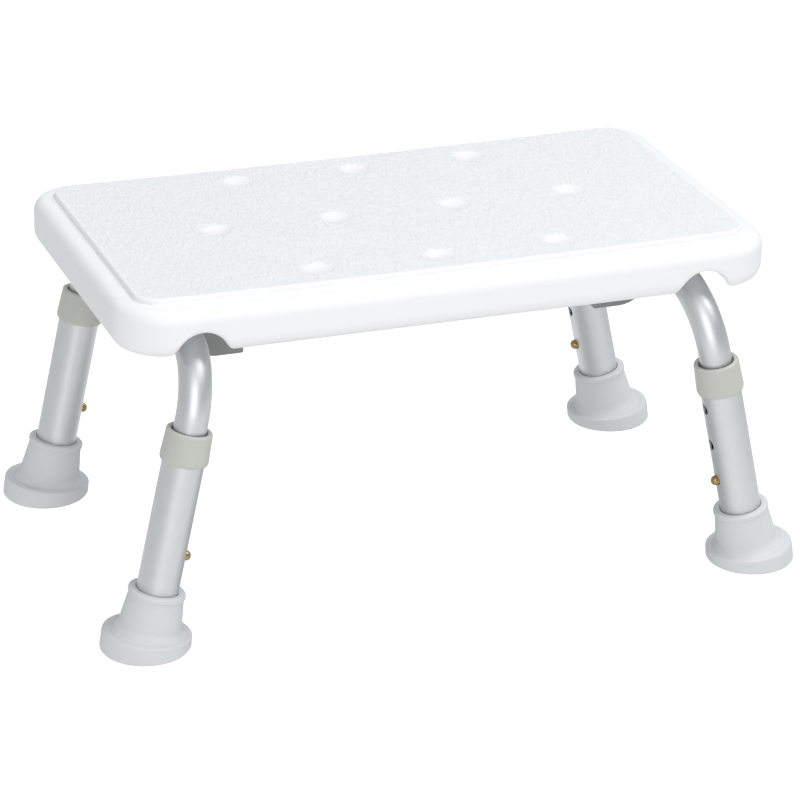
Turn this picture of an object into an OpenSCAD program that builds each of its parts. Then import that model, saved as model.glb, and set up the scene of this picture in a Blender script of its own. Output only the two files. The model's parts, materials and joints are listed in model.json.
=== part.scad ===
// Low bath transfer bench: a hollow moulded seat on two U-shaped frame tubes,
// with four telescopic legs held by sprung snap buttons.
// +X runs along the length, +Y to the back, +Z up. The origin is on the floor
// under the middle of the seat.

/* [Seat] */
// Length of the seat
seat_l = 412; // [380:2:460]
// Depth of the seat, front to back
seat_d = 236; // [220:2:280]
// Height of the raised top panel above the floor
seat_top = 215; // [205:1:225]
// Thickness from the underside to the raised panel
seat_t = 33; // [30:1:40]
// Plan radius of the seat corners
seat_corner_r = 32; // [24:1:40]
// Wall thickness of the hollow moulding
seat_wall = 3; // [2.5:0.5:4]
// Width of the smooth border in front of and behind the raised panel
border_w = 15.5; // [12:0.5:24]
// Width of the smooth border at the two ends of the raised panel
end_border_w = 13.5; // [12:0.5:24]
// Plan radius of the raised panel's corners
panel_r = 15; // [10:1:24]
// Height of the raised panel above the border
panel_h = 3.2; // [2.4:0.2:5]
// Fillet along the top edge of the border
top_fillet = 5.5; // [4:0.5:7]
// Fillet along the bottom edge
bottom_fillet = 10; // [6:0.5:11]

/* [Dimples] */
// Spacing of the dimples along the seat
dimple_pitch = 77; // [60:1:80]
// Spacing of the three rows of dimples
dimple_row = 79; // [60:1:82]
// Diameter of a dimple at the surface
dimple_dia = 16; // [12:0.2:20]
// Depth of a dimple
dimple_depth = 1.8; // [1:0.2:3]

/* [Legs] */
// Outer diameter of the lower leg tube
leg_dia = 25.4; // [25:0.1:26]
// Wall thickness of the lower leg tube
leg_wall = 1.3; // [1:0.1:1.4]
// Distance from the middle of the bench to a foot, along the length
foot_x = 196.8; // [190:0.2:205]
// Distance from the middle of the bench to a foot, front to back
foot_y = 116.5; // [112:0.5:120]
// Outward lean of the legs, in degrees
lean = 12; // [8:0.5:14]
// Height of the top end of the leg tube along the leg
leg_top = 138; // [134:1:140]
// Height of the snap button along the leg, at the lowest setting
button_z = 60.5; // [58:0.5:64]
// Spacing of the height settings
setting_pitch = 25; // [20:0.5:25]
// Number of height settings
settings = 3; // [2:1:3]

/* [Frame tubes] */
// Outer diameter of the U-shaped frame tube
frame_dia = 20; // [19:0.1:20.2]
// Wall thickness of the frame tube
frame_wall = 1.2; // [1:0.1:1.5]
// Centre-line radius of the two bends
bend_r = 38; // [34:1:42]
// Height of the straight run under the seat, along the leaning plane
run_z = 184; // [183:0.5:185]
// Height of the frame tube's lower ends, along the leg
frame_end_z = 38; // [34:1:42]

/* [Snap buttons] */
// Diameter of the button
button_dia = 6.2; // [5.8:0.1:6.3]
// How far the dome stands out of the leg tube
button_proud = 3.7; // [3:0.1:4.2]
// Diameter of the holes that take the button
button_hole = 6.8; // [6.6:0.1:7]

/* [Feet] */
// Diameter of the foot base
foot_dia = 55; // [50:1:58]
// Height of the foot along the leg
foot_h = 37.5; // [34:0.5:40]
// Height of the flat base of the foot
base_h = 12; // [10:0.5:14]

/* [Hidden] */
$fn = 64;
eps = 0.05;              // gap between a piece and what it is pressed onto
seat_low = seat_top - seat_t;
border_z = seat_top - panel_h;
panel_l = seat_l - 2 * end_border_w;
panel_d = seat_d - 2 * border_w;
panel_fillet = 1.5;
dimple_r = (pow(dimple_dia / 2, 2) + pow(dimple_depth, 2)) / (2 * dimple_depth);
tack_low_r = 11;         // moulded cones that rise from the underside to the dimples
tack_top_r = 6;
tack_top_z = seat_top - dimple_depth - seat_wall - 3;

leg_r = leg_dia / 2;
leg_bore_r = leg_r - leg_wall;
frame_r = frame_dia / 2;
frame_bore_r = frame_r - frame_wall;
run_x = foot_x - run_z * sin(lean);   // where the straight run lies, in the bench's frame
run_h = run_z * cos(lean);
run_half = foot_y - bend_r;
channel_r = frame_r + 0.4;
mouth_r = 17;            // the channel is this wide for a stretch inside the seat wall
mouth_l = 38;
taper_l = 14;            // length over which it narrows to the tube

washer_z = 6.5;
washer_t = 1.5;
washer_hole_r = 4;
leg_low = washer_z + washer_t;
collar_h = 20;
collar_top = leg_top + 2.4;
collar_low = collar_top - collar_h;
button_r = button_dia / 2;
button_tip = leg_r + button_proud;
button_base = 7.5;       // outer face of the flange that stops the button
stop_r = 4.2;
stop_t = 0.9;
rivet_r = 1.5;
leaf_t = 0.7;
leaf_w = 7;

bracket_in = 113.7;      // inboard end of the bracket, from the middle of the bench
bracket_out = 184;
bracket_half = 50;
bracket_low = 152.5;
bracket_wall = 3;
bracket_bend_x = 130;    // the bottom turns up towards the tube from here
bracket_bend_r = 22.5;
bracket_rise = 30;       // angle at which it climbs, in degrees
bracket_edge_r = 3;
saddle_x = 172;
saddle_wall = 3.5;
flange_t = 5;
rib_y = 16;
rib_l = 45;
rib_t = 2.5;
tower_wall = 3;
screw_in_x = 124;
screw_out_x = 178;
screw_y = 38;
screw_r = 1.95;
screw_head_r = 4;
screw_head_h = 2.6;
screw_bevel = 1;
screw_hole_r = screw_r + 0.3;
recess_l = 4.4;
recess_w = 1;
recess_depth = 1.5;
insert_r = 3.2;
insert_l = 10;
screw_ledge = seat_low - 10;   // the long tower's screw head bears here
boss_r = 6.5;

SIDES = [["left", -1], ["right", 1]];
CORNERS = [["fl", -1, -1], ["fr", 1, -1], ["bl", -1, 1], ["br", 1, 1]];
DIMPLES = concat(
    [for (i = [-1.5:1:1.5]) [i * dimple_pitch, 0]],
    [for (i = [-1:1:1], j = [-1, 1]) [i * dimple_pitch, j * dimple_row]]);
SCREWS = [for (x = [screw_in_x, screw_out_x], y = [-screw_y, screw_y]) [x, y]];

function side_nodes(name) = [for (s = SIDES) str(name, "_", s[0])];
function corner_nodes(name) = [for (c = CORNERS) str(name, "_", c[0])];

// Points of an arc from angle a0 to a1
function arc(cx, cy, r, a0, a1, n = 6) =
    [for (i = [0:n]) [cx + r * cos(a0 + (a1 - a0) * i / n), cy + r * sin(a0 + (a1 - a0) * i / n)]];

// Outline of a strip of thickness t along a list of points
function unit(v) = v / norm(v);
function normal_at(p, i) =
    let (a = p[max(i - 1, 0)], b = p[min(i + 1, len(p) - 1)], d = unit(b - a)) [-d[1], d[0]];
function strip(p, t) = concat(
    [for (i = [0:len(p) - 1]) p[i] + normal_at(p, i) * t / 2],
    [for (i = [len(p) - 1:-1:0]) p[i] - normal_at(p, i) * t / 2]);

// Half section of a slab, from a corner's centre to its outer wall
module slab_section(run, z0, z1, low_f, top_f) {
    translate([0, z0 + low_f]) square([run, z1 - z0 - low_f - top_f]);
    translate([0, z0]) square([run - low_f, z1 - z0]);
    translate([0, z1 - top_f - 1]) square([run - top_f, top_f + 1]);
    if (low_f > 0) translate([run - low_f, z0 + low_f]) circle(low_f);
    if (top_f > 0) translate([run - top_f, z1 - top_f]) circle(top_f);
}

// Slab with round corners in plan and filleted edges
module slab(l, d, r, z0, z1, low_f, top_f) {
    cx = l / 2 - r;
    cy = d / 2 - r;
    translate([-cx, -cy, z0]) cube([2 * cx, 2 * cy, z1 - z0]);
    for (q = [[1, 1, 0], [-1, 1, 90], [-1, -1, 180], [1, -1, 270]])
        translate([q[0] * cx, q[1] * cy, 0])
            rotate([0, 0, q[2]])
                rotate_extrude(angle = 90) slab_section(r, z0, z1, low_f, top_f);
    for (a = [0, 180])
        rotate([0, 0, a]) {
            translate([cx, cy, 0]) rotate([90, 0, 0])
                linear_extrude(2 * cy) slab_section(r, z0, z1, low_f, top_f);
            translate([-cx, cy, 0]) rotate([90, 0, 90])
                linear_extrude(2 * cx) slab_section(r, z0, z1, low_f, top_f);
        }
}

// Groove across the underside for a frame tube, wider where the tube bends out
module channel(sx, extra) {
    translate([sx * run_x, 0, run_h]) {
        rotate([90, 0, 0]) cylinder(r = channel_r + extra, h = seat_d, center = true);
        for (sy = [-1, 1])
            rotate([-90 * sy, 0, 0]) {
                translate([0, 0, seat_d / 2 - mouth_l]) cylinder(r = mouth_r + extra, h = mouth_l + 1);
                translate([0, 0, seat_d / 2 - mouth_l - taper_l])
                    cylinder(r1 = channel_r + extra, r2 = mouth_r + extra, h = taper_l);
            }
    }
}

module dimple_balls(extra) {
    for (p = DIMPLES)
        translate([p[0], p[1], seat_top - dimple_depth + dimple_r]) sphere(dimple_r + extra);
}

module tack_cones(extra) {
    for (p = DIMPLES)
        translate([p[0], p[1], seat_low - 1])
            cylinder(r1 = tack_low_r + extra, r2 = tack_top_r + extra, h = tack_top_z + extra - seat_low + 1);
}

module screw_spots() {
    for (sx = [-1, 1], p = SCREWS) translate([sx * p[0], p[1], 0]) children();
}

module seat_shell() {
    w = seat_wall;
    color([0.93, 0.94, 0.94])
    difference() {
        union() {
            slab(seat_l, seat_d, seat_corner_r, seat_low, border_z, bottom_fillet, top_fillet);
            slab(panel_l, panel_d, panel_r, border_z - 1, seat_top, 0, panel_fillet);
        }
        difference() {
            union() {
                slab(seat_l - 2 * w, seat_d - 2 * w, seat_corner_r - w,
                     seat_low + w, border_z - w, bottom_fillet - w, top_fillet - w);
                slab(panel_l - 4 * w, panel_d - 4 * w, panel_r - 2 * w,
                     border_z - w - 1, seat_top - w, 0, 0);
            }
            for (sx = [-1, 1]) channel(sx, w);
            dimple_balls(w);
            tack_cones(w);
            screw_spots() translate([0, 0, seat_low]) cylinder(r = boss_r, h = insert_l + w + 1);
        }
        for (sx = [-1, 1]) channel(sx, 0);
        dimple_balls(0);
        tack_cones(0);
        screw_spots() translate([0, 0, seat_low - 1]) cylinder(r = insert_r + eps, h = insert_l + 1.5);
    }
}

// Threaded inserts in the seat's bosses
module seat_inserts() {
    color([0.78, 0.64, 0.36])
    screw_spots() translate([0, 0, seat_low + 0.2]) difference() {
        cylinder(r = insert_r, h = insert_l);
        translate([0, 0, -1]) cylinder(r = screw_r + eps, h = insert_l + 2);
    }
}

// Maps the plane of one U-shaped tube: local Y and Z lie in the leaning plane
module frame_plane(sx) {
    translate([sx * foot_x, 0, 0]) rotate([0, -sx * lean, 0]) children();
}

// Maps one leg: local Z runs up the leg and local X points to the middle of the bench
module leg_frame(sx, sy) {
    translate([sx * foot_x, sy * foot_y, 0])
        rotate([0, -sx * lean, 0])
            rotate([0, 0, sx > 0 ? 180 : 0]) children();
}

// Solid U of radius r
module u_rod(r, low) {
    for (m = [0, 1]) mirror([0, m, 0]) {
        translate([0, foot_y, low]) cylinder(r = r, h = run_z - bend_r - low);
        translate([0, run_half, run_z - bend_r]) rotate([90, 0, 90])
            rotate_extrude(angle = 90) translate([bend_r, 0]) circle(r);
    }
    translate([0, 0, run_z]) rotate([90, 0, 0]) cylinder(r = r, h = 2 * run_half, center = true);
}

module frame_tube(sx) {
    color([0.82, 0.84, 0.85])
    frame_plane(sx) difference() {
        u_rod(frame_r, frame_end_z);
        u_rod(frame_bore_r, frame_end_z - 1);
        for (y = [-foot_y, foot_y])
            translate([0, y, button_z]) rotate([0, -90 * sx, 0]) cylinder(d = button_hole, h = leg_r);
    }
}

// Cross-section of the bracket, with every wall set in by w
module bracket_section(w) {
    slope = tan(bracket_rise);
    turn = arc(bracket_bend_x, bracket_low + bracket_bend_r, bracket_bend_r - w, -90, -90 + bracket_rise);
    last = turn[len(turn) - 1];
    polygon(concat(
        [[bracket_in + w, seat_low + w]],
        arc(bracket_in + bracket_edge_r + w, bracket_low + bracket_edge_r + w, bracket_edge_r, 180, 270, 4),
        turn,
        [[saddle_x - w, last[1] + slope * (saddle_x - w - last[0])], [saddle_x - w, seat_low + w]]));
}

module frame_bracket(sx) {
    mirror([sx < 0 ? 1 : 0, 0, 0])
    color([0.60, 0.60, 0.57])
    difference() {
        union() {
            difference() {
                translate([0, bracket_half, 0]) rotate([90, 0, 0])
                    linear_extrude(2 * bracket_half) bracket_section(0);
                difference() {
                    translate([0, bracket_half - bracket_wall, 0]) rotate([90, 0, 0])
                        linear_extrude(2 * (bracket_half - bracket_wall)) bracket_section(bracket_wall);
                    translate([run_x, 0, run_h]) rotate([90, 0, 0])
                        cylinder(r = frame_r + saddle_wall, h = 2 * bracket_half, center = true);
                    translate([run_x, -bracket_half, bracket_low])
                        cube([saddle_x - run_x, 2 * bracket_half, seat_t]);
                    for (y = [-rib_y, rib_y])
                        translate([bracket_in, y - rib_t / 2, bracket_low]) cube([rib_l, rib_t, seat_t]);
                    for (y = [-screw_y, screw_y])
                        translate([screw_in_x, y, bracket_low])
                            cylinder(r = screw_head_r + tower_wall, h = seat_t);
                }
            }
            translate([saddle_x - 2, -bracket_half, seat_low - flange_t])
                cube([bracket_out - saddle_x + 2, 2 * bracket_half, flange_t]);
        }
        translate([0, 0, seat_low + seat_t / 2])
            cube([4 * bracket_out, 4 * bracket_half, seat_t], center = true);
        translate([run_x, 0, run_h]) {
            rotate([90, 0, 0]) cylinder(r = frame_r + eps, h = 3 * bracket_half, center = true);
            translate([-frame_r - eps, -1.5 * bracket_half, 0])
                cube([2 * (frame_r + eps), 3 * bracket_half, frame_r]);
        }
        for (y = [-screw_y, screw_y]) {
            translate([screw_in_x, y, bracket_low - 1]) cylinder(r = screw_hole_r, h = seat_t);
            translate([screw_in_x, y, bracket_low - 1])
                cylinder(r = screw_head_r + 0.4, h = screw_ledge - bracket_low + 1);
            translate([screw_out_x, y, bracket_low]) cylinder(r = screw_hole_r, h = seat_t);
        }
    }
}

// Pan-head screw with a cross recess, its head's bearing face at z
module screw(z) {
    difference() {
        union() {
            translate([0, 0, z]) cylinder(r = screw_r, h = seat_low + insert_l - z);
            translate([0, 0, z - screw_head_h])
                cylinder(r1 = screw_head_r - screw_bevel, r2 = screw_head_r, h = screw_bevel);
            translate([0, 0, z - screw_head_h + screw_bevel])
                cylinder(r = screw_head_r, h = screw_head_h - screw_bevel);
        }
        for (a = [0, 90])
            translate([0, 0, z - screw_head_h]) rotate([0, 0, a])
                cube([recess_l, recess_w, 2 * recess_depth], center = true);
    }
}

module bracket_screws(sx) {
    color([0.75, 0.76, 0.77])
    for (p = SCREWS)
        translate([sx * p[0], p[1], 0])
            screw((p[0] == screw_in_x ? screw_ledge : seat_low - flange_t) - 0.02);
}

// Plastic bush on the lower end of the frame tube, which keeps it central in the leg tube
module tube_glide(sx, sy) {
    sleeve_r = leg_bore_r - 0.3;
    sleeve_l = 12;
    end_t = 2;
    vent_r = 4;
    color([0.25, 0.26, 0.27])
    leg_frame(sx, sy) difference() {
        translate([0, 0, frame_end_z - end_t]) cylinder(r = sleeve_r, h = end_t + sleeve_l);
        translate([0, 0, frame_end_z]) cylinder(r = frame_r + eps, h = sleeve_l + 1);
        translate([0, 0, frame_end_z - end_t - 1]) cylinder(r = vent_r, h = end_t + 2);
    }
}

// Folded leaf spring inside the frame tube, which carries the snap button
module button_spring(sx, sy) {
    arm_x = button_base - stop_t - leaf_t / 2;
    arm_half = 7;
    back_x = -frame_bore_r + 1.3;
    back_end = button_z - 5;
    fold_r = 1.6;
    fold_z = button_z + 38;
    path = concat(
        [[arm_x, button_z - arm_half], [arm_x, button_z + arm_half]],
        arc(back_x + fold_r, fold_z, fold_r, 0, 180, 8),
        [[back_x, back_end]]);
    color([0.55, 0.57, 0.60])
    leg_frame(sx, sy) difference() {
        rotate([90, 0, 0]) linear_extrude(leaf_w, center = true) polygon(strip(path, leaf_t));
        translate([0, 0, button_z]) rotate([0, 90, 0]) cylinder(r = rivet_r + eps, h = leg_r);
    }
}

module snap_button(sx, sy) {
    color([0.80, 0.66, 0.38])
    leg_frame(sx, sy) translate([0, 0, button_z]) rotate([0, 90, 0]) {
        translate([0, 0, button_base - stop_t]) cylinder(r = stop_r, h = stop_t);
        translate([0, 0, button_base - stop_t - leaf_t - 0.4]) cylinder(r = rivet_r, h = leaf_t + 0.5);
        translate([0, 0, button_base - 0.1])
            cylinder(r = button_r, h = button_tip - button_r - button_base + 0.1);
        translate([0, 0, button_tip - button_r]) sphere(button_r);
    }
}

module leg_tube(sx, sy) {
    color([0.82, 0.84, 0.85])
    leg_frame(sx, sy) difference() {
        translate([0, 0, leg_low]) cylinder(r = leg_r, h = leg_top - leg_low);
        translate([0, 0, leg_low - 1]) cylinder(r = leg_bore_r, h = leg_top - leg_low + 2);
        for (i = [0:settings - 1])
            translate([0, 0, button_z + i * setting_pitch]) rotate([0, 90, 0])
                cylinder(d = button_hole, h = 2 * leg_r);
    }
}

// Collar on the top of the leg tube, with a thin sleeve between the two tubes
module leg_collar(sx, sy) {
    low_r = 14.7;
    top_r = 13.9;
    bore_r = frame_r + 0.9;
    edge_r = 1.2;
    sleeve_r = frame_r + 0.3;
    sleeve_low = collar_low - 2.5;
    slot_r = leg_bore_r - 0.1;
    color([0.75, 0.75, 0.72])
    leg_frame(sx, sy) rotate_extrude() difference() {
        union() {
            polygon(concat(
                [[bore_r, collar_top], [bore_r, collar_low], [low_r - 0.8, collar_low],
                 [low_r, collar_low + edge_r]],
                arc(top_r - edge_r, collar_top - edge_r, edge_r, 0, 90)));
            translate([sleeve_r, sleeve_low]) square([slot_r - sleeve_r, collar_top - 1 - sleeve_low]);
        }
        translate([slot_r, sleeve_low - 1]) square([leg_r + eps - slot_r, leg_top + 1 - sleeve_low]);
    }
}

// Rubber foot: a conical neck around the leg, on a flat round base
module foot(sx, sy) {
    base_r = foot_dia / 2;
    low_f = 3;
    top_f = 4;
    neck_z = 6;          // the neck starts inside the base
    neck_low = 18.8;
    neck_top = 16.5;
    rim_h = 2.5;
    bead_r = 1.75;
    ring_w = 2.4;        // grooves of the tread
    ring_depth = 1;
    color([0.83, 0.84, 0.83])
    difference() {
        union() {
            translate([sx * foot_x, sy * foot_y, 0]) rotate_extrude() {
                square([base_r - top_f, base_h]);
                translate([0, low_f]) square([base_r, base_h - low_f - top_f]);
                translate([base_r - low_f, low_f]) circle(low_f);
                translate([base_r - top_f, base_h - top_f]) circle(top_f);
            }
            leg_frame(sx, sy) rotate_extrude() {
                polygon([[0, neck_z], [neck_low, neck_z], [neck_low, base_h], [neck_top, foot_h - rim_h],
                         [neck_top, foot_h - 0.5], [neck_top - 1, foot_h], [0, foot_h]]);
                translate([neck_top - 1.2, foot_h - 1.8]) circle(bead_r);
            }
        }
        leg_frame(sx, sy) {
            translate([0, 0, leg_low]) cylinder(r = leg_r + eps, h = 2 * foot_h);
            translate([0, 0, washer_z - eps]) cylinder(r = leg_r - 0.45, h = foot_h);
        }
        for (r = [10, 16])
            translate([sx * foot_x, sy * foot_y, -ring_depth]) difference() {
                cylinder(r = r + ring_w / 2, h = 2 * ring_depth);
                translate([0, 0, -ring_depth]) cylinder(r = r - ring_w / 2, h = 4 * ring_depth);
            }
    }
}

// Steel washer in the foot, which the end of the leg tube stands on
module foot_washer(sx, sy) {
    color([0.70, 0.71, 0.72])
    leg_frame(sx, sy) translate([0, 0, washer_z]) difference() {
        cylinder(r = leg_r - 0.5, h = washer_t);
        translate([0, 0, -1]) cylinder(r = washer_hole_r, h = washer_t + 2);
    }
}

seat_shell();
seat_inserts();
for (s = SIDES) {
    frame_tube(s[1]);
    frame_bracket(s[1]);
    bracket_screws(s[1]);
}
for (c = CORNERS) {
    tube_glide(c[1], c[2]);
    button_spring(c[1], c[2]);
    snap_button(c[1], c[2]);
    leg_tube(c[1], c[2]);
    leg_collar(c[1], c[2]);
    foot(c[1], c[2]);
    foot_washer(c[1], c[2]);
}
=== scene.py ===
"""Looks of a low bath transfer bench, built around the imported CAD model."""
import json
import math

import bpy
import numpy as np
from mathutils import Matrix, Vector


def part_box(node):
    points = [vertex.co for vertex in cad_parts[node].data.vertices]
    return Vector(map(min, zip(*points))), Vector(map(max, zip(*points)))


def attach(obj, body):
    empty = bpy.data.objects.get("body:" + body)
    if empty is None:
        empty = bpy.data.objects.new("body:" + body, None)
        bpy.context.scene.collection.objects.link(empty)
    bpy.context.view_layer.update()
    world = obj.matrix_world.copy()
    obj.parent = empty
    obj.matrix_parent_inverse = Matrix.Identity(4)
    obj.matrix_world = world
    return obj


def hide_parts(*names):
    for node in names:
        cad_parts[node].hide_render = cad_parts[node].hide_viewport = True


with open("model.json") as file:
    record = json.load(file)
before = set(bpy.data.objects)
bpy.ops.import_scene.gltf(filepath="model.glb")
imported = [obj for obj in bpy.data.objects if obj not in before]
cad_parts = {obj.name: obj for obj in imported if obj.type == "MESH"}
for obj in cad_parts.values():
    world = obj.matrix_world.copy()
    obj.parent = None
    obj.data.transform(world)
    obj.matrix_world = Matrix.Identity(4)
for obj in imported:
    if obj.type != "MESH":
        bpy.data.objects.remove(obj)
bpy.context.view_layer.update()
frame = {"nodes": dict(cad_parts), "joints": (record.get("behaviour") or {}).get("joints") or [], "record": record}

MM = 0.001
CORNERS = ("fl", "fr", "bl", "br")
SIDES = {"left": -1, "right": 1}

# ---------------------------------------------------------------- sizes, in millimetres, from the frame


def node_box(node):
    """Lowest and highest corner of a CAD node, in millimetres."""
    low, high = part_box(node)
    return np.array(low) / MM, np.array(high) / MM


def joint(name):
    return next(j for j in frame["joints"] if j["name"] == name)


SEAT_LOW, SEAT_HIGH = node_box("seat_shell")
HALF_L, HALF_D, SEAT_TOP = SEAT_HIGH
SEAT_BASE = SEAT_LOW[2]
LEG_SLIDE = joint("leg_fr_height")
LEG_TRAVEL = LEG_SLIDE["range_m"][1] / MM
LEAN = math.atan2(abs(LEG_SLIDE["axis"][0]), abs(LEG_SLIDE["axis"][2]))
FOOT_LOW, FOOT_HIGH = node_box("foot_fr")
FOOT_R = (FOOT_HIGH[1] - FOOT_LOW[1]) / 2
FOOT_X = FOOT_HIGH[0] - FOOT_R
FOOT_Y = -(FOOT_HIGH[1] + FOOT_LOW[1]) / 2

# the seat, its raised panel and the border round it
SEAT_CORNER_R = 32
BORDER_W = 15.5
END_BORDER_W = 13.5
PANEL_HALF_L = HALF_L - END_BORDER_W
PANEL_HALF_D = HALF_D - BORDER_W
PANEL_CORNER_R = 15
PANEL_EDGE_R = 1.5
PANEL_ROOT = SEAT_BASE + 14                  # where the panel's block ends, inside the slab
PANEL_ROOT_R = 1
STEP = 3.2
STEP_FILLET = 0.6
BORDER_FALL = 2.2
DISH = 1.4
TOP_FILLET = 6.5
BOTTOM_FILLET = 10
GRAIN_MARGIN = 1.2

# the channels for the frame tubes, and their wide mouths in the walls
CHANNEL_R = 10.5
CHANNEL_RIM = 1.5
MOUTH_R = 16.5
MOUTH_L = 38
MOUTH_TAPER = 14
MOUTH_RIM = 3.5
MOUTH_LIP = 5
MOUTH_UNDERCUT = 4

# the dimples, and the moulded cones that rise to them from below
DIMPLE_PITCH = 77
DIMPLE_ROW = 79
DIMPLE_R = 8.8
DIMPLE_DEPTH = 2.0
DIMPLE_RIM = 1.3
MIDDLE_DIMPLES = [(i * DIMPLE_PITCH, 0) for i in (0.5, 1.5)]
OUTER_DIMPLES = [(i * DIMPLE_PITCH, DIMPLE_ROW) for i in (0, 1)]
DIMPLES = MIDDLE_DIMPLES + OUTER_DIMPLES     # one quarter of them; the rest mirror it
CONE_LOW_R = 11
CONE_HIGH_R = 6
CONE_TOP = SEAT_TOP - DIMPLE_DEPTH - 6
CONE_EDGE_R = 2.5
CONE_RIM = 1.5

# legs, measured along the lean from the floor
LEG_R = 12.7
LEG_BORE_R = 11.4
LEG_LOW = 8
LEG_TOP = 138
BUTTON_Z = 60.5
HOLE_R = 3.4
HOLE_CHAMFER = 0.3
SETTING_PITCH = 25
SETTINGS = 3
HOLES = [BUTTON_Z + SETTING_PITCH * i for i in range(SETTINGS)]
COLLAR_H = 20
COLLAR_TOP = LEG_TOP + 2.4
FOOT_TOP = 38.2
BUTTON_R = 3.1
BUTTON_TIP = LEG_R + 3.7

# frame tubes
TUBE_R = 10
TUBE_BORE_R = 8.8
BEND_R = 38
BEND_FLATTENING = 0.035
RUN_Z = 184
TUBE_END = 38
RUN_X = FOOT_X - RUN_Z * math.sin(LEAN)
RUN_H = RUN_Z * math.cos(LEAN)

# brackets
BRACKET_LOW, BRACKET_HIGH = node_box("frame_bracket_right")
BRACKET_BEND_X = 130
BRACKET_BEND_R = 22.5
BRACKET_RISE = 30
SADDLE_X = 172
FLANGE_T = 5
SCREW_IN_X = 124
SCREW_OUT_X = 178
SCREW_Y = 38
SCREW_HEAD_R = 4
SCREW_SHANK_R = 2.2
SCREW_LEDGE = SEAT_BASE - 10
BRACKET_WALL_R = 1.2
BRACKET_TOP_R = 0.8
BRACKET_END_R = 0.9
FLANGE_OVERLAP = 6
SADDLE_GAP = 0.15

# ---------------------------------------------------------------- mesh building


def signs(corner):
    """-1 or 1 for left or right, and -1 or 1 for front or back."""
    return (1 if corner[1] == "r" else -1), (1 if corner[0] == "b" else -1)


def leg_matrix(corner):
    """Local Z runs up the leg from the floor, and local X points to the middle of the bench."""
    sx, sy = signs(corner)
    turn = Matrix.Rotation(math.pi if sx > 0 else 0, 4, "Z")
    lean = Matrix.Rotation(-sx * LEAN, 4, "Y")
    return Matrix.Translation((sx * FOOT_X, sy * FOOT_Y, 0)) @ lean @ turn


def plane_matrix(sx):
    """Local Y and Z lie in the leaning plane of one U-shaped tube."""
    return Matrix.Translation((sx * FOOT_X, 0, 0)) @ Matrix.Rotation(-sx * LEAN, 4, "Y")


def placed(points, matrix):
    """Points moved by a matrix, all in millimetres."""
    m = np.array(matrix)
    return np.asarray(points, float) @ m[:3, :3].T + m[:3, 3]


class Skin:
    """Collects the points and faces of one mesh, ring by ring."""

    def __init__(self):
        self.points = []
        self.faces = []
        self.straight = []

    def add(self, points, straight=None):
        """Adds points and returns their numbers. straight is each one's place on the unbent tube."""
        start = len(self.points)
        self.points.extend(map(tuple, points))
        self.straight.extend(map(tuple, points if straight is None else straight))
        return list(range(start, len(self.points)))

    def bridge(self, a, b, closed=True):
        n = len(a)
        for i in range(n if closed else n - 1):
            j = (i + 1) % n
            self.faces.append((a[i], a[j], b[j], b[i]))

    def fan(self, ring, tip):
        for i in range(len(ring)):
            self.faces.append((ring[i], ring[(i + 1) % len(ring)], tip))


def build(name, points, faces, sharp_angle=40, **attributes):
    """A mesh object from points in millimetres, smooth but for edges sharper than sharp_angle."""
    mesh = bpy.data.meshes.new(name)
    mesh.from_pydata((np.asarray(points) * MM).tolist(), [], [list(map(int, f)) for f in faces])
    mesh.validate()
    mesh.shade_smooth()
    mesh.set_sharp_from_angle(angle=math.radians(sharp_angle))
    for key, values in attributes.items():
        values = np.asarray(values, np.float32)
        kind = "FLOAT" if values.ndim == 1 else "FLOAT_VECTOR"
        layer = mesh.attributes.new(key, kind, "POINT")
        layer.data.foreach_set("value" if values.ndim == 1 else "vector", values.ravel())
    piece = bpy.data.objects.new(name, mesh)
    bpy.context.scene.collection.objects.link(piece)
    return piece


def finish_piece(piece, body, slot, material, *nodes):
    """Puts a piece on its body, in place of its CAD nodes."""
    piece.data.materials.append(material)
    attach(piece, body)
    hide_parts(*nodes)
    return piece


def circle(r, count):
    angles = [math.tau * i / count for i in range(count)]
    return [(r * math.cos(a), r * math.sin(a)) for a in angles]


def outline(corners, step=12, support=0.35):
    """Points of a line through corners (r, z, fillet), each rounding in steps of about step degrees.

    A support point at each end of a rounding, support away from it, keeps the flats flat when shaded.
    """
    points = []
    count = len(corners)
    for i, (x, y, fillet) in enumerate(corners):
        here = Vector((x, y))
        if fillet <= 0 or i in (0, count - 1):
            points.append((x, y))
            continue
        back = (Vector(corners[i - 1][:2]) - here).normalized()
        ahead = (Vector(corners[i + 1][:2]) - here).normalized()
        half = back.angle(ahead) / 2
        centre = here + (back + ahead).normalized() * (fillet / math.sin(half))
        first = here + back * (fillet / math.tan(half))
        last = here + ahead * (fillet / math.tan(half))
        a = first - centre
        sweep = a.angle_signed(last - centre)
        parts = max(2, round(math.degrees(abs(sweep)) / step))
        points.append(tuple(first + back * support))
        for k in range(parts + 1):
            t = sweep * k / parts
            points.append((centre.x + a.x * math.cos(t) + a.y * math.sin(t),
                           centre.y - a.x * math.sin(t) + a.y * math.cos(t)))
        points.append(tuple(last + ahead * support))
    return points


def revolved(profile, sides=72, place=None):
    """Skin of a profile (r, z) turned about Z. place maps (r cos, r sin, z) points ring by ring."""
    skin = Skin()
    rings = []
    for r, z in profile:
        ring = [(0, 0, z)] if r < 1e-6 else [(x, y, z) for x, y in circle(r, sides)]
        rings.append(skin.add(ring if place is None else place(ring)))
    for a, b in zip(rings, rings[1:]):
        if len(a) == 1:
            skin.fan(b[::-1], a[0])
        elif len(b) == 1:
            skin.fan(a, b[0])
        else:
            skin.bridge(a, b)
    return skin


# ---------------------------------------------------------------- moulded shapes, as distance fields


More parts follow.
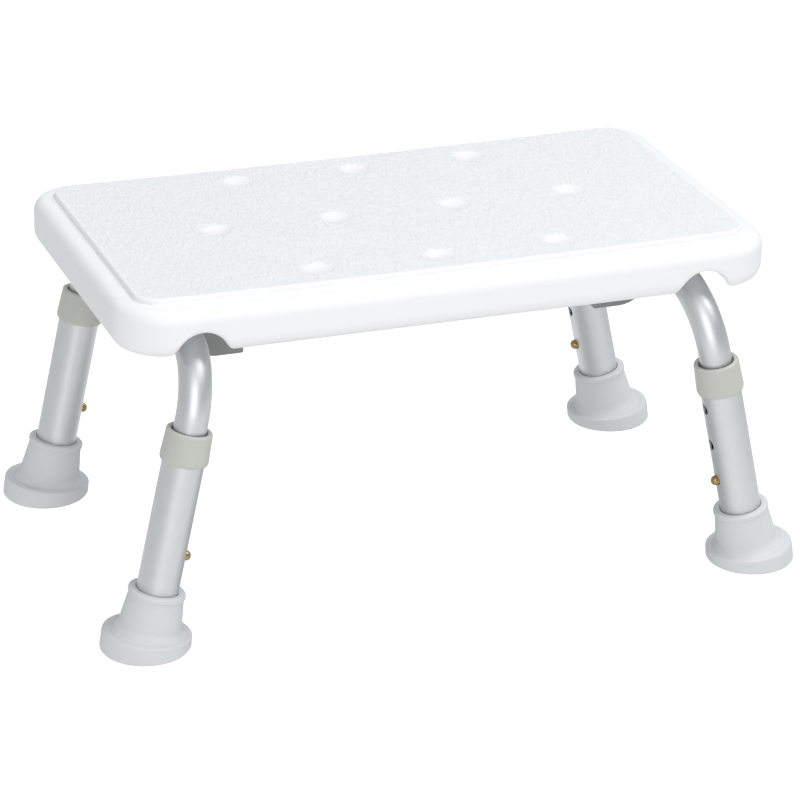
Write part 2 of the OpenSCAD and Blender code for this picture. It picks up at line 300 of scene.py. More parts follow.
def rounded_plan(x, y, half_l, half_d, r):
    """Distance to a rectangle with round corners, negative inside."""
    qx = np.abs(x) - (half_l - r)
    qy = np.abs(y) - (half_d - r)
    return np.hypot(np.maximum(qx, 0), np.maximum(qy, 0)) + np.minimum(np.maximum(qx, qy), 0) - r


def common(a, b, r):
    """What is inside both a and b, its edge rounded to radius r."""
    return np.minimum(-r, np.maximum(a, b)) + np.hypot(np.maximum(a + r, 0), np.maximum(b + r, 0))


def joined(a, b, r):
    """What is inside a or b, with a fillet of radius r between them."""
    return np.maximum(r, np.minimum(a, b)) - np.hypot(np.maximum(r - a, 0), np.maximum(r - b, 0))


def cut(a, b, r):
    """What is inside a and outside b, its rim rounded to radius r."""
    return common(a, -b, r)


def graded(end, zones, fine, coarse, growth=0.25):
    """Grid lines from -end to end, spaced fine in the zones and up to coarse between them."""
    lines = [0.0]
    while lines[-1] < end:
        here = lines[-1]
        gap = min(max(low - here, here - high, 0) for low, high in zones)
        lines.append(here + min(coarse, fine + growth * gap))
    half = np.array(lines) * end / lines[-1]
    return np.concatenate([-half[:0:-1], half])


def surface_net(field, axes):
    """Points and quads of the zero level of field(x, y, z), sampled on the grid of the three axes.

    Each grid edge that the surface crosses adds its crossing to the four cells round the edge. A cell's
    point is the mean of its crossings, and the points of those four cells make a quad.
    """
    grid = np.meshgrid(*axes, indexing="ij", sparse=True)
    value = field(*grid)
    inside = value < 0
    cells = tuple(n - 1 for n in value.shape)
    total = np.zeros(cells + (3,))
    count = np.zeros(cells)
    for axis in range(3):
        low = [slice(None)] * 3
        high = [slice(None)] * 3
        low[axis] = slice(0, -1)
        high[axis] = slice(1, None)
        low, high = tuple(low), tuple(high)
        crosses = inside[low] != inside[high]
        share = np.where(crosses, value[low] / np.where(crosses, value[low] - value[high], 1), 0)
        for other_a in (0, 1):
            for other_b in (0, 1):
                pick = [slice(None)] * 3
                others = [k for k in range(3) if k != axis]
                for k, shift in zip(others, (other_a, other_b)):
                    pick[k] = slice(shift, shift + cells[k])
                pick = tuple(pick)
                hit = crosses[pick]
                count += hit
                for k in range(3):
                    line = axes[k]
                    shape = [1, 1, 1]
                    shape[k] = -1
                    if k == axis:
                        start = line[:-1].reshape(shape)
                        place = start + share[pick] * np.diff(line).reshape(shape)
                    else:
                        place = line[pick[k]].reshape(shape)
                    total[..., k] += hit * place
    used = count > 0
    number = np.full(cells, -1)
    number[used] = np.arange(used.sum())
    points = total[used] / count[used][:, None]
    quads = []
    for axis in range(3):
        u, v = [k for k in range(3) if k != axis]
        low = [slice(1, -1)] * 3
        high = [slice(1, -1)] * 3
        low[axis] = slice(0, -1)
        high[axis] = slice(1, None)
        leaving = inside[tuple(low)] & ~inside[tuple(high)]
        entering = ~inside[tuple(low)] & inside[tuple(high)]
        for mask, flip in ((leaving, axis == 1), (entering, axis != 1)):
            spots = np.argwhere(mask)
            ring = []
            for du, dv in ((0, 0), (1, 0), (1, 1), (0, 1)):
                cell = spots.copy()
                cell[:, u] += du
                cell[:, v] += dv
                ring.append(number[tuple(cell.T)])
            ring = np.stack(ring, axis=1)
            quads.append(ring[:, ::-1] if flip else ring)
    return points, np.concatenate(quads)


def slope(field, points, reach=0.02):
    """Gradient of field at each point."""
    out = np.empty_like(points)
    for k in range(3):
        ahead, behind = points.copy(), points.copy()
        ahead[:, k] += reach
        behind[:, k] -= reach
        out[:, k] = (field(*ahead.T) - field(*behind.T)) / (2 * reach)
    return out


def moulded(name, field, axes, place=None, sharp_angle=50, **attributes):
    """Mesh object of a distance field in millimetres, its points pulled onto the true surface."""
    points, quads = surface_net(field, axes)
    for _ in range(4):                           # steps down the slope, each at most 0.6 mm
        g = slope(field, points)
        steps = field(*points.T) / np.maximum((g * g).sum(1), 0.25)
        points -= np.clip(steps, -0.6, 0.6)[:, None] * g
    values = {key: rule(*points.T) for key, rule in attributes.items()}
    if place is not None:
        points = placed(points, place)
        if Matrix(place).determinant() < 0:
            quads = quads[:, ::-1]
    return build(name, points, quads, sharp_angle=sharp_angle, **values)


# ---------------------------------------------------------------- seat


def panel_height(x):
    """Height of the raised panel, which sags a little in the middle of its length."""
    return SEAT_TOP - DISH * (1 - np.minimum(np.abs(x) / PANEL_HALF_L, 1) ** 2)


def dimple_distance(x, y, radius):
    """Distance in plan to a circle of that radius round the nearest dimple's axis."""
    x, y = np.abs(x), np.abs(y)
    return np.min([np.hypot(x - cx, y - cy) for cx, cy in DIMPLES], axis=0) - radius


def channel(x, y, z):
    """Grooves for the frame tubes, wide at the walls. Returns the field and its rim's radius."""
    depth = HALF_D - np.abs(y)
    across = np.abs(x) - RUN_X
    narrowing = np.clip((depth - MOUTH_L) / MOUTH_TAPER, 0, 1)
    undercut = MOUTH_UNDERCUT * np.clip((depth - MOUTH_LIP) / MOUTH_UNDERCUT, 0, 1)
    radius = (MOUTH_R + undercut) * (1 - narrowing) + CHANNEL_R * narrowing
    arch = np.hypot(across, z - RUN_H) - radius
    walls = np.maximum(np.abs(across) - radius, z - RUN_H)
    rim = MOUTH_RIM - (MOUTH_RIM - CHANNEL_RIM) * np.clip(depth / MOUTH_L, 0, 1)
    return np.minimum(arch, walls), rim


def seat_field(x, y, z):
    plan = rounded_plan(x, y, HALF_L, HALF_D, SEAT_CORNER_R)
    panel_plan = rounded_plan(x, y, PANEL_HALF_L, PANEL_HALF_D, PANEL_CORNER_R)
    top = panel_height(x)
    border = top - STEP - BORDER_FALL * np.clip(panel_plan / BORDER_W, 0, 1) ** 2
    slab = common(plan, z - border, TOP_FILLET)
    slab = common(slab, SEAT_BASE - z, BOTTOM_FILLET)
    panel = common(common(panel_plan, z - top, PANEL_EDGE_R), PANEL_ROOT - z, PANEL_ROOT_R)
    body = joined(slab, panel, STEP_FILLET)
    body = cut(body, *channel(x, y, z))
    ball_r = (DIMPLE_R ** 2 + DIMPLE_DEPTH ** 2) / (2 * DIMPLE_DEPTH)
    away = dimple_distance(x, y, 0)
    ball = np.hypot(away, z - (top - DIMPLE_DEPTH + ball_r)) - ball_r
    body = cut(body, ball, DIMPLE_RIM)
    taper = (CONE_LOW_R - CONE_HIGH_R) / (CONE_TOP - SEAT_BASE)
    cone = (away - CONE_LOW_R + (z - SEAT_BASE) * taper) / math.hypot(1, taper)
    return cut(body, common(cone, z - CONE_TOP, CONE_EDGE_R), CONE_RIM)


def seat_grain(x, y, z):
    """1 on the raised panel's top, and 0 elsewhere and in the dimples."""
    panel_plan = rounded_plan(x, y, PANEL_HALF_L, PANEL_HALF_D, PANEL_CORNER_R)
    edge = np.clip(-(panel_plan + GRAIN_MARGIN) / GRAIN_MARGIN, 0, 1)
    dimple = np.clip(dimple_distance(x, y, DIMPLE_R) + GRAIN_MARGIN / 2, 0, 1)
    return edge * dimple * (z > SEAT_TOP - STEP)


def make_seat(material):
    fine, coarse, margin = 1.15, 3, 2
    reach = DIMPLE_R + 1.5
    end_x, end_y = HALF_L + margin, HALF_D + margin
    dimple_x = [(i * DIMPLE_PITCH - reach, i * DIMPLE_PITCH + reach) for i in (0, 0.5, 1, 1.5)]
    x_lines = graded(end_x, dimple_x + [(RUN_X - MOUTH_R - 2.5, end_x)], fine, coarse)
    y_lines = graded(end_y, [(0, reach), (DIMPLE_ROW - reach, end_y)], fine, coarse)
    low, middle, high = SEAT_BASE + 17, SEAT_TOP - 10, SEAT_TOP + margin
    z_lines = np.concatenate([np.arange(SEAT_BASE - margin, low, 1.1),
                              np.arange(low, middle, 1.6),
                              np.arange(middle, high, 0.75)])
    piece = moulded("seat", seat_field, (x_lines, y_lines, z_lines), grain=seat_grain)
    return finish_piece(piece, "seat_frame", "seat_white", material, "seat_shell")


# ---------------------------------------------------------------- brackets


def bracket_field(x, y, z):
    """Right-hand bracket: a box under the tube, its bottom turned up towards the tube, with a flange."""
    low_x, _, low_z = BRACKET_LOW
    high_x, half_y, high_z = BRACKET_HIGH
    rise = math.radians(BRACKET_RISE)
    centre_z = low_z + BRACKET_BEND_R
    angle = np.arctan2(x - BRACKET_BEND_X, centre_z - z)
    round_base = np.hypot(x - BRACKET_BEND_X, z - centre_z) - BRACKET_BEND_R
    slant = (x - BRACKET_BEND_X) * math.sin(rise) - (z - centre_z) * math.cos(rise) - BRACKET_BEND_R
    base = np.where(x < BRACKET_BEND_X, low_z - z, np.where(angle < rise, round_base, slant))
    ends = np.abs(y) - half_y
    box = common(common(base, low_x - x, BRACKET_WALL_R), x - SADDLE_X, BRACKET_TOP_R)
    box = common(box, ends, BRACKET_END_R)
    flange = np.maximum(high_z - FLANGE_T - z, SADDLE_X - FLANGE_OVERLAP - x)
    flange = common(common(flange, x - high_x, BRACKET_END_R), ends, BRACKET_END_R)
    body = np.maximum(joined(box, flange, 1.5), z - high_z)
    saddle_r = TUBE_R + SADDLE_GAP
    tube = np.hypot(x - RUN_X, z - RUN_H) - saddle_r
    slot = np.maximum(np.abs(x - RUN_X) - saddle_r, RUN_H - z)
    body = cut(body, np.minimum(tube, slot), 0.6)
    inner_screws = (SCREW_IN_X, SCREW_HEAD_R + 0.4, SCREW_LEDGE)
    outer_screws = (SCREW_OUT_X, SCREW_SHANK_R, high_z + FLANGE_T)
    for at_x, r, top in (inner_screws, outer_screws):
        hole = np.maximum(np.hypot(x - at_x, np.abs(y) - SCREW_Y) - r, z - top)
        body = cut(body, hole, 0.5)
    return body


def make_bracket(side, material):
    fine, coarse, margin = 0.9, 5, 1.5
    end_y = BRACKET_HIGH[1] + margin
    x_lines = np.arange(BRACKET_LOW[0] - margin, BRACKET_HIGH[0] + margin + fine, fine)
    y_lines = graded(end_y, [(SCREW_Y - SCREW_HEAD_R - 2, end_y)], fine, coarse)
    z_lines = np.arange(BRACKET_LOW[2] - margin, BRACKET_HIGH[2] + margin, fine)
    piece = moulded(f"frame_bracket_{side}.skin", bracket_field, (x_lines, y_lines, z_lines),
                    Matrix.Diagonal((SIDES[side], 1, 1, 1)), sharp_angle=45)
    return finish_piece(piece, "seat_frame", "bracket_grey", material, f"frame_bracket_{side}")


# ---------------------------------------------------------------- tubes


def make_frame_tube(side, material):
    """U-shaped tube with its wall: legs, bends, which flatten a little, and the straight run."""
    sides = 56
    half_run = FOOT_Y - BEND_R
    bend_steps = 22
    stations = []                                # y, z, direction in degrees, length so far, flattening
    bend_low = RUN_Z - BEND_R
    for z in np.linspace(TUBE_END, bend_low, 9):
        stations.append((-FOOT_Y, z, 90, z - TUBE_END, 0))
    travelled = bend_low - TUBE_END
    for i in range(1, bend_steps + 1):
        a = 90 * i / bend_steps
        y = -half_run - BEND_R * math.cos(math.radians(a))
        z = bend_low + BEND_R * math.sin(math.radians(a))
        flat = math.sin(math.radians(2 * a)) ** 2
        stations.append((y, z, 90 - a, travelled + math.radians(a) * BEND_R, flat))
    travelled += math.pi / 2 * BEND_R
    for y, z, angle, along, flat in reversed(list(stations)):
        stations.append((-y, z, -angle, 2 * (travelled + half_run) - along, flat))
    skin = Skin()

    def ring(station, r):
        y, z, angle, along, flat = station
        a = math.radians(angle)
        across = (-math.sin(a), math.cos(a))
        points, straight = [], []
        for u, v in circle(r, sides):
            v *= 1 - BEND_FLATTENING * flat
            points.append((u, y + v * across[0], z + v * across[1]))
            straight.append((u, v, along))
        return skin.add(points, straight)

    outer = [ring(s, TUBE_R) for s in stations]
    inner = [ring(s, TUBE_BORE_R) for s in stations]
    for a, b in zip(outer, outer[1:]):
        skin.bridge(a, b)
    for a, b in zip(inner, inner[1:]):
        skin.bridge(b, a)
    skin.bridge(inner[0], outer[0])
    skin.bridge(outer[-1], inner[-1])
    piece = build(f"frame_tube_{side}.skin", placed(skin.points, plane_matrix(SIDES[side])),
                  skin.faces, straight=skin.straight)
    return finish_piece(piece, "seat_frame", "tube_aluminium", material, f"frame_tube_{side}")


def make_leg_tube(corner, material):
    """Leg tube with its adjustment holes cut through the wall and their edges broken."""
    sides = 64
    reach = 5                                    # columns and rows from a hole's centre to its patch's edge
    cell = math.tau / sides
    pitch = LEG_R * cell
    rows = [LEG_LOW, LEG_LOW + 0.5]
    for z in HOLES:
        rows += [z + k * pitch for k in range(-reach, reach + 1)]
    rows += [LEG_TOP - 0.5, LEG_TOP]
    skin = Skin()
    columns = [cell * j for j in range(sides)]

    def wall(r, rim, outward):
        """One face of the wall, its holes of radius rim. Returns the rings at its ends and holes."""
        ids = [skin.add([(r * math.cos(t), r * math.sin(t), z) for t in columns]) for z in rows]
        for k, (low, high) in enumerate(zip(ids, ids[1:])):
            middle = (rows[k] + rows[k + 1]) / 2
            in_patch = any(abs(middle - z) < reach * pitch for z in HOLES)
            for j in range(sides):
                column = (j + 0.5 + sides / 2) % sides - sides / 2
                if in_patch and abs(column) < reach:
                    continue
                face = (low[j], low[(j + 1) % sides], high[(j + 1) % sides], high[j])
                skin.faces.append(face if outward else face[::-1])
        rims = []
        for z in HOLES:
            first = min(range(len(rows)), key=lambda k: abs(rows[k] - (z - reach * pitch)))
            span = range(-reach, reach)
            edge = [(first, j) for j in span]
            edge += [(first + reach + j, reach) for j in span]
            edge += [(first + 2 * reach, -j) for j in span]
            edge += [(first + reach - j, -reach) for j in span]
            border = [ids[row][column % sides] for row, column in edge]
            places = [(r * math.sin(cell * column), rows[row]) for row, column in edge]
            previous = border
            for share in (0.3, 0.6, 0.82, 1.0):      # from the patch's edge to the hole's rim
                ring = []
                for y_edge, z_edge in places:
                    a = math.atan2(z_edge - z, y_edge)
                    y = y_edge + (rim * math.cos(a) - y_edge) * share
                    z_here = z_edge + (z + rim * math.sin(a) - z_edge) * share
                    ring.append((math.sqrt(r * r - y * y), y, z_here))
                ring = skin.add(ring)
                if outward:
                    skin.bridge(previous, ring)
                else:
                    skin.bridge(ring, previous)
                previous = ring
            rims.append(previous)
        return ids[0], ids[-1], rims

    low_out, high_out, rims_out = wall(LEG_R, HOLE_R + HOLE_CHAMFER, True)
    low_in, high_in, rims_in = wall(LEG_BORE_R, HOLE_R, False)
    skin.bridge(low_in, low_out)
    skin.bridge(high_out, high_in)
    for outer, inner in zip(rims_out, rims_in):
        middle = []
        for number in inner:
            x, y, z = skin.points[number]
            middle.append((math.sqrt((LEG_R - HOLE_CHAMFER) ** 2 - y * y), y, z))
        middle = skin.add(middle)
        skin.bridge(outer, middle)
        skin.bridge(middle, inner)
    piece = build(f"leg_tube_{corner}.skin", placed(skin.points, leg_matrix(corner)), skin.faces,
                  straight=skin.straight)
    return finish_piece(piece, f"leg_{corner}", "tube_aluminium", material, f"leg_tube_{corner}")


# ---------------------------------------------------------------- collars, feet and buttons


def make_collar(corner, material):
    """Conical collar with a rounded rim, and the thin sleeve inside it."""
    top = COLLAR_TOP
    low = COLLAR_TOP - COLLAR_H
    gap = 0.05
    outside = [(LEG_R + gap, low + 0.6, 0), (LEG_R + 0.3, low, 0.25), (14.2, low, 0.9),
               (14.75, low + 2.2, 1.5), (13.95, top, 1.3)]
    bore = [(TUBE_R + 0.9, top, 1.0), (TUBE_R + 0.9, low + 3, 0.2), (TUBE_R + 0.35, low + 2, 0.2)]
    sleeve = [(TUBE_R + 0.35, low - 2.5, 0.2), (LEG_BORE_R - 0.15, low - 2.5, 0.2),
              (LEG_BORE_R - 0.15, LEG_TOP + gap, 0.1), (LEG_R + gap, LEG_TOP + gap, 0.1)]
    profile = outline(outside + bore + sleeve + outside[:1], support=0.12)
    skin = revolved(profile, 80)
    piece = build(f"leg_collar_{corner}.skin", placed(skin.points, leg_matrix(corner)), skin.faces)
    return finish_piece(piece, f"leg_{corner}", "collar_grey", material, f"leg_collar_{corner}")


def make_foot(corner, material):
    """Rubber foot: a neck along the leg that turns into a level base with a ringed tread."""
    tread = []
    for r in (7, 14, 21):
        tread += [(r - 1.5, 0, 0.3), (r - 1.2, 1.2, 0.3), (r + 1.2, 1.2, 0.3), (r + 1.5, 0, 0.3)]
    top = FOOT_TOP
    profile = outline([(0, 0, 0)] + tread + [
        (FOOT_R - 1.4, 0, 1.0), (FOOT_R, 1.8, 1.2), (FOOT_R - 0.3, 10.8, 1.3), (FOOT_R - 3.6, 11.3, 1.0),
        (22.0, 11.0, 2.0), (19.2, 14.6, 5.0), (16.8, 33.0, 2),
        (16.6, 34.4, 0.6), (17.4, 35.2, 0.7), (17.3, top, 1.4),
        (LEG_R + 0.6, top, 0.6), (LEG_R + 0.06, top - 1.0, 0.4), (LEG_R + 0.06, LEG_LOW, 0.3),
        (0, LEG_LOW - 1.4, 0)], support=0.25)
    matrix = leg_matrix(corner)
    sx, sy = signs(corner)
    turn = -sx
    blend_low, blend_h = 3, 14

    def place(ring):
        """Level near the floor, and turning smoothly into the leg's lean above it."""
        out = []
        for x, y, z in ring:
            share = min(max((z - blend_low) / blend_h, 0), 1)
            share = share * share * (3 - 2 * share)
            level = np.array([sx * FOOT_X + turn * x, sy * FOOT_Y + turn * y, z])
            leaning = placed([(x, y, z)], matrix)[0]
            out.append(level * (1 - share) + leaning * share)
        return out

    skin = revolved(profile, 96, place)
    piece = build(f"foot_{corner}.skin", skin.points, skin.faces)
    return finish_piece(piece, f"leg_{corner}", "foot_rubber", material, f"foot_{corner}")


def make_button(corner, material):
    """Domed snap button with its stop flange and the rivet end that holds the leaf."""
    dome_h = 2.75
    dome_low = BUTTON_TIP - dome_h
    rivet = [(0, 4.9, 0), (1.9, 4.9, 0.4), (1.9, 5.5, 0.2), (1.5, 5.5, 0), (1.5, 6.6, 0)]
    flange = [(4.2, 6.6, 0.2), (4.2, 7.5, 0.2), (BUTTON_R, 7.5, 0.15)]
    profile = outline(rivet + flange + [(BUTTON_R, dome_low, 0)], support=0.05)
    angles = [math.radians(a) for a in range(0, 90, 9)]
    dome = [(BUTTON_R * math.cos(a), dome_low + dome_h * math.sin(a)) for a in angles]
    skin = revolved(profile[:-1] + dome + [(0, BUTTON_TIP)], 48)
    along_x = Matrix.Rotation(math.pi / 2, 4, "Y")
    place = leg_matrix(corner) @ Matrix.Translation((0, 0, BUTTON_Z)) @ along_x
    piece = build(f"snap_button_{corner}.skin", placed(skin.points, place), skin.faces)
    return finish_piece(piece, f"button_{corner}", "button_brass", material, f"snap_button_{corner}")


# ---------------------------------------------------------------- materials


def new_material(name, **values):
    """A Principled material, its constant values set on the shader's own sockets."""
    material = bpy.data.materials.new(name)
    material.use_nodes = True
    shader = material.node_tree.nodes["Principled BSDF"]
    for key, value in values.items():
        shader.inputs[key.replace("_", " ")].default_value = value
    return material


class Nodes:
    """Short calls to add and link a material's nodes."""

    def __init__(self, material):
        self.tree = material.node_tree
        self.shader = self.tree.nodes["Principled BSDF"]

    def add(self, kind, values=None, **options):
        node = self.tree.nodes.new(kind)
        for key, value in options.items():
            setattr(node, key, value)
        for key, value in (values or {}).items():
            if isinstance(value, bpy.types.NodeSocket):
                self.tree.links.new(value, node.inputs[key])
            else:
                node.inputs[key].default_value = value
        return node

    def place(self):
        """Position in the object's own frame, in metres."""
        return self.add("ShaderNodeTexCoord").outputs["Object"]

    def attribute(self, name, output):
        return self.add("ShaderNodeAttribute", attribute_name=name).outputs[output]

    def stretched(self, vector, scale):
        return self.add("ShaderNodeMapping", {"Vector": vector, "Scale": scale}).outputs["Vector"]

    def noise(self, vector, scale, detail=3.0, roughness=0.5):
        values = {"Vector": vector, "Scale": scale, "Detail": detail, "Roughness": roughness}
        return self.add("ShaderNodeTexNoise", values).outputs["Fac"]

    def ranged(self, value, low, high, source=(0.3, 0.7)):
        """The value, with the source range stretched to run from low to high."""
        values = {"Value": value, "To Min": low, "To Max": high}
        values.update({"From Min": source[0], "From Max": source[1]})
        return self.add("ShaderNodeMapRange", values).outputs["Result"]

    def math(self, operation, *values):
        return self.add("ShaderNodeMath", dict(enumerate(values)), operation=operation).outputs["Value"]

    def tint(self, value, low, high):
        """Colour that runs from low to high with value, linked to the base colour."""
        mix = self.add("ShaderNodeMix", {"Factor": value}, data_type="RGBA")
        mix.inputs[6].default_value = (*low, 1)
        mix.inputs[7].default_value = (*high, 1)
        self.tree.links.new(mix.outputs[2], self.shader.inputs["Base Color"])

    def roughness(self, value):
        self.tree.links.new(value, self.shader.inputs["Roughness"])

    def bump(self, height, distance, strength=1.0, normal=None):
        node = self.add("ShaderNodeBump", {"Height": height, "Distance": distance, "Strength": strength})
        if normal is not None:
            self.tree.links.new(normal, node.inputs["Normal"])
        self.tree.links.new(node.outputs["Normal"], self.shader.inputs["Normal"])
        return node.outputs["Normal"]


def seat_material():
    """White plastic: a drawn-out grain on the panel, and a slightly lighter, smooth border."""
    material = new_material("white_moulded_plastic", IOR=1.49)
    n = Nodes(material)
    place = n.place()
    grain = n.attribute("grain", "Fac")
    drawn_out = n.stretched(place, (1, 0.34, 1))
    swirl = n.add("ShaderNodeTexNoise", {"Vector": place, "Scale": 260.0}).outputs["Color"]
    shift = n.add("ShaderNodeVectorMath", {0: swirl, "Scale": 0.0016}, operation="SCALE").outputs[0]
    moved = n.add("ShaderNodeVectorMath", {0: drawn_out, 1: shift}, operation="ADD").outputs[0]
    cells = n.add("ShaderNodeTexVoronoi", {"Vector": moved, "Scale": 560.0, "Smoothness": 0.35},
                  feature="SMOOTH_F1").outputs["Distance"]
    warp = n.noise(drawn_out, 260, 2)
    height = n.math("MULTIPLY", n.math("SUBTRACT", n.math("MULTIPLY", warp, 0.8), cells), grain)
    fine = n.noise(place, 900, 3)
    skin = n.bump(fine, 0.00002, 0.5)
    n.bump(height, 0.0006, 1.0, skin)
    n.roughness(n.ranged(n.noise(place, 60, 4), 0.40, 0.50))
    smooth = n.math("SUBTRACT", 1.0, grain)
    shade = n.math("MULTIPLY_ADD", n.noise(place, 14, 3), 0.35, smooth)
    n.tint(shade, (0.835, 0.855, 0.86), (0.885, 0.89, 0.895))
    return material


def tube_material():
    """Drawn aluminium, with faint lines along the tube in its gloss."""
    material = new_material("satin_anodised_aluminium", Metallic=1.0)
    n = Nodes(material)
    straight = n.attribute("straight", "Vector")
    lines = n.noise(n.stretched(straight, (1.0, 1.0, 0.012)), 4.0, 5, 0.7)
    cloud = n.noise(straight, 0.08, 3)
    n.tint(cloud, (0.67, 0.685, 0.695), (0.73, 0.745, 0.755))
    n.roughness(n.ranged(lines, 0.37, 0.49))
    fine = n.noise(straight, 14.0, 2)
    n.bump(lines, 0.00003, 0.6, n.bump(fine, 0.00001, 0.5))
    return material


def plastic_material(name, low, high, roughness):
    """Moulded plastic with a faint orange-peel skin."""
    material = new_material(name, IOR=1.49)
    n = Nodes(material)
    place = n.place()
    n.tint(n.noise(place, 60, 4), low, high)
    n.roughness(n.ranged(n.noise(place, 600, 3), roughness - 0.03, roughness + 0.03))
    n.bump(n.noise(place, 1400, 3), 0.00002, 0.4)
    return material


def rubber_material():
    """Matt rubber with faint blotches."""
    material = new_material("light_grey_rubber", IOR=1.52)
    n = Nodes(material)
    place = n.place()
    blotch = n.noise(place, 120, 5, 0.6)
    n.tint(blotch, (0.625, 0.64, 0.64), (0.68, 0.695, 0.695))
    n.roughness(n.ranged(n.noise(place, 500, 3), 0.58, 0.74))
    n.bump(n.noise(place, 2200, 2), 0.00004, 0.6)
    return material


def metal_material(name, low, high, rough, scale=700):
    """Plain metal with fine scratches in its gloss."""
    material = new_material(name, Metallic=1.0)
    n = Nodes(material)
    place = n.place()
    scratches = n.noise(n.stretched(place, (1, 1, 0.15)), scale, 4, 0.65)
    n.tint(n.noise(place, 300, 3), low, high)
    n.roughness(n.ranged(scratches, rough - 0.07, rough + 0.09))
    n.bump(scratches, 0.00001, 0.5)
    return material


# ---------------------------------------------------------------- assembly

MATERIALS = {
    "seat_white": seat_material(),
    "tube_aluminium": tube_material(),
    "collar_grey": plastic_material("warm_grey_plastic", (0.515, 0.52, 0.48), (0.555, 0.56, 0.52), 0.32),
    # the brackets are grey plastic like the collars, but coloured far darker: painted shade for the shadow under
    # the seat
    "bracket_grey": plastic_material("grey_bracket_plastic_darkened_as_shade", (0.22, 0.222, 0.22), (0.27, 0.272, 0.27), 0.46),
    "glide_plastic": plastic_material("dark_glide_plastic", (0.05, 0.052, 0.055), (0.07, 0.072, 0.075), 0.45),
    "foot_rubber": rubber_material(),
    # the buttons' brass is coloured far darker than the plain brass: painted dark reflections
    "button_brass": metal_material("polished_brass_darkened_for_reflections", (0.36, 0.25, 0.10), (0.50, 0.36, 0.16), 0.14),
    "insert_brass": metal_material("plain_brass", (0.66, 0.48, 0.22), (0.74, 0.56, 0.28), 0.35),
    "screw_steel": metal_material("zinc_plated_screw", (0.62, 0.63, 0.64), (0.72, 0.73, 0.73), 0.30),
    "spring_steel": metal_material("spring_steel", (0.40, 0.41, 0.43), (0.50, 0.51, 0.53), 0.32),
    "washer_steel": metal_material("zinc_plated_washer", (0.58, 0.59, 0.60), (0.68, 0.69, 0.70), 0.34),
}
for entry in frame["record"]["subparts"]:
    node = frame["nodes"][entry["node"]]
    node.data.materials.clear()
    node.data.materials.append(MATERIALS[entry["material_slot"]])

make_seat(MATERIALS["seat_white"])
for side in SIDES:
    make_frame_tube(side, MATERIALS["tube_aluminium"])
    make_bracket(side, MATERIALS["bracket_grey"])
for corner in CORNERS:
    make_leg_tube(corner, MATERIALS["tube_aluminium"])
    make_collar(corner, MATERIALS["collar_grey"])
    make_foot(corner, MATERIALS["foot_rubber"])
    make_button(corner, MATERIALS["button_brass"])

# ---------------------------------------------------------------- camera, floor and light

# from here on in metres and degrees
CAMERA_AT = Vector((-0.7463, -2.0846, 1.0360))
CAMERA_AZIMUTH = -19.81
CAMERA_DOWN = 23.22
CAMERA_ROLL = 0.63
CAMERA_LENS = 172.25                         # this and the sensor's width are in millimetres
CAMERA_SENSOR = 36
FLOOR_HALF = 12
FLOOR_Z = -LEG_TRAVEL * MM * math.cos(LEAN) - 0.0003
CARD_DROP = 0.0004
CARD_HALF_L = 0.54
CARD_HALF_D = 0.95
CARD_X = 0.1
CARD_Y = -0.5
# the card glows brightest round a point in front of the bench, a painted pool of lit floor, and less away from it
CARD_NEAR = 0.96
CARD_FAR = 0.70
# where the card's glow is dimmed under the seat: a painted shadow of the seat
SHADE_HALF_L = 0.21
SHADE_HALF_D = 0.15
SHADE = 0.5
WORLD_LOW = 0.50
WORLD_HIGH = 0.62
WORLD_BRIGHT = (-0.92, -0.15, 0.35)


def make_camera():
    data = bpy.data.cameras.new("camera")
    data.lens = CAMERA_LENS
    data.sensor_width = CAMERA_SENSOR
    data.clip_end = 50
    camera = bpy.data.objects.new("camera", data)
    bpy.context.scene.collection.objects.link(camera)
    a, e = math.radians(CAMERA_AZIMUTH), math.radians(CAMERA_DOWN)
    back = Vector((math.sin(a) * math.cos(e), -math.cos(a) * math.cos(e), math.sin(e)))
    aim = (-back).to_track_quat("-Z", "Y").to_matrix().to_4x4()
    roll = Matrix.Rotation(math.radians(CAMERA_ROLL), 4, "Z")
    camera.matrix_world = Matrix.Translation(CAMERA_AT) @ aim @ roll
    bpy.context.scene.camera = camera


def stage_plane(name, height, material):
    mesh = bpy.data.meshes.new(name)
    corners = [(sx * FLOOR_HALF, sy * FLOOR_HALF, 0) for sx, sy in ((-1, -1), (1, -1), (1, 1), (-1, 1))]
    mesh.from_pydata(corners, [], [(0, 1, 2, 3)])
    mesh.materials.append(material)
    plane = bpy.data.objects.new(name, mesh)
    plane.location.z = height
    bpy.context.scene.collection.objects.link(plane)
    return plane


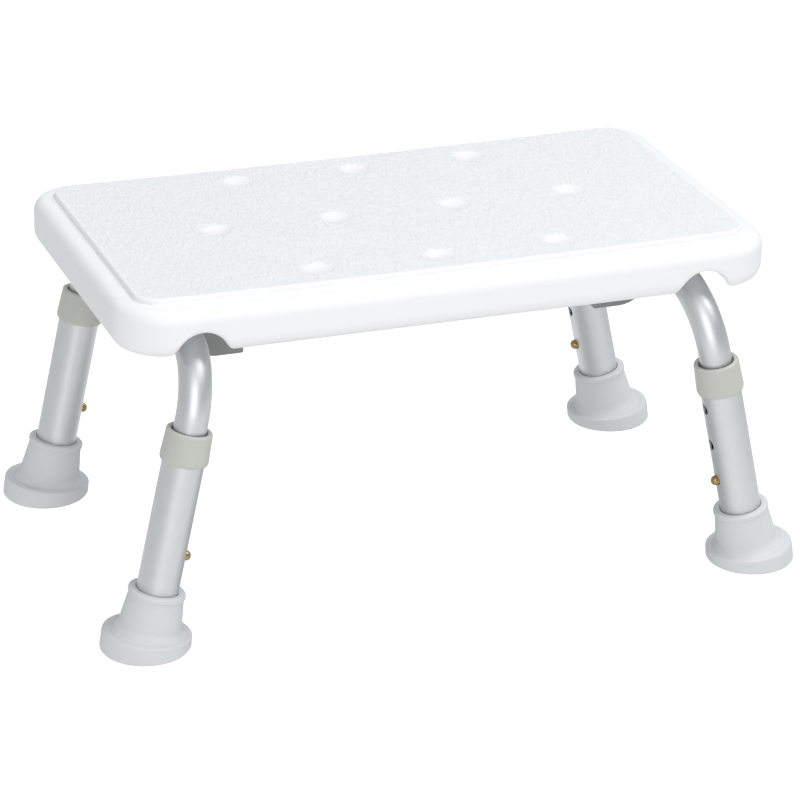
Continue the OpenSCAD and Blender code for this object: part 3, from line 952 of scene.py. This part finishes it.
def make_floor():
    """A pale floor, as low as the legs reach, and under it a card that lights the bench from below. The card's
    glow is painted light: brighter round a point in front, a painted pool of lit floor, and dimmed under the seat,
    a painted shadow of the seat.
    """
    floor = stage_plane("floor", FLOOR_Z, new_material(
        "pale_floor", Base_Color=(0.40, 0.40, 0.40, 1), Roughness=0.9,
        Emission_Color=(1, 1, 1, 1), Emission_Strength=0.84))
    floor.visible_diffuse = False
    floor.visible_glossy = False
    material = new_material(
        "bounce_card", Base_Color=(0, 0, 0, 1), Roughness=1.0, Emission_Color=(1, 1, 1, 1))
    n = Nodes(material)
    place = n.place()
    # painted pool of light: the glow is brighter round the point in front
    spread = n.add("ShaderNodeMapping", {
        "Vector": place, "Location": (-CARD_X / CARD_HALF_L, -CARD_Y / CARD_HALF_D, 0),
        "Scale": (1 / CARD_HALF_L, 1 / CARD_HALF_D, 0)})
    away = n.add("ShaderNodeVectorMath", {0: spread.outputs["Vector"]}, operation="LENGTH")
    ramp = n.add("ShaderNodeMapRange", {
        "Value": away.outputs["Value"], "From Min": 0.7, "From Max": 1.4,
        "To Min": CARD_NEAR, "To Max": CARD_FAR}, interpolation_type="SMOOTHSTEP")
    # painted shadow of the seat: the glow is dimmed to SHADE under the seat
    patch = n.stretched(place, (1 / SHADE_HALF_L, 1 / SHADE_HALF_D, 0))
    under = n.add("ShaderNodeVectorMath", {0: patch}, operation="LENGTH")
    shade = n.ranged(under.outputs["Value"], SHADE, 1.0, (0.6, 1.4))
    strength = n.math("MULTIPLY", ramp.outputs["Result"], shade)
    n.tree.links.new(strength, n.shader.inputs["Emission Strength"])
    card = stage_plane("bounce_card", FLOOR_Z - CARD_DROP, material)
    card.visible_camera = False


def make_light(name, towards, distance, size, power):
    """Soft rectangular light at a distance from the bench in the direction towards."""
    data = bpy.data.lights.new(name, "AREA")
    data.shape = "RECTANGLE"
    data.size, data.size_y = size
    data.energy = power
    light = bpy.data.objects.new(name, data)
    light.visible_camera = False
    direction = Vector(towards).normalized()
    light.location = direction * distance + Vector((0, 0, 0.1))
    light.rotation_mode = "QUATERNION"
    light.rotation_quaternion = direction.to_track_quat("Z", "Y")
    bpy.context.scene.collection.objects.link(light)


def make_world():
    """A soft grey surround that is brighter at the left."""
    world = bpy.data.worlds.new("studio")
    world.use_nodes = True
    tree = world.node_tree
    background = tree.nodes["Background"]
    background.inputs["Color"].default_value = (0.96, 0.98, 1.0, 1)
    towards = tree.nodes.new("ShaderNodeVectorMath")
    towards.operation = "DOT_PRODUCT"
    towards.inputs[1].default_value = Vector(WORLD_BRIGHT).normalized()
    tree.links.new(tree.nodes.new("ShaderNodeTexCoord").outputs["Generated"], towards.inputs[0])
    ramp = tree.nodes.new("ShaderNodeMapRange")
    ramp.interpolation_type = "SMOOTHSTEP"
    values = {"From Min": 0.3, "From Max": 0.95, "To Min": WORLD_LOW, "To Max": WORLD_HIGH}
    for key, value in values.items():
        ramp.inputs[key].default_value = value
    tree.links.new(towards.outputs["Value"], ramp.inputs["Value"])
    tree.links.new(ramp.outputs["Result"], background.inputs["Strength"])
    bpy.context.scene.world = world


make_camera()
make_floor()
make_light("key", (0.42, -0.1, 0.9), 3.0, (2.45, 2.45), 55)
make_light("front", (-0.317, -0.871, 0.375), 2.4, (1.7, 2.2), 18.5)
make_world()
bpy.context.scene.view_settings.view_transform = "Standard"
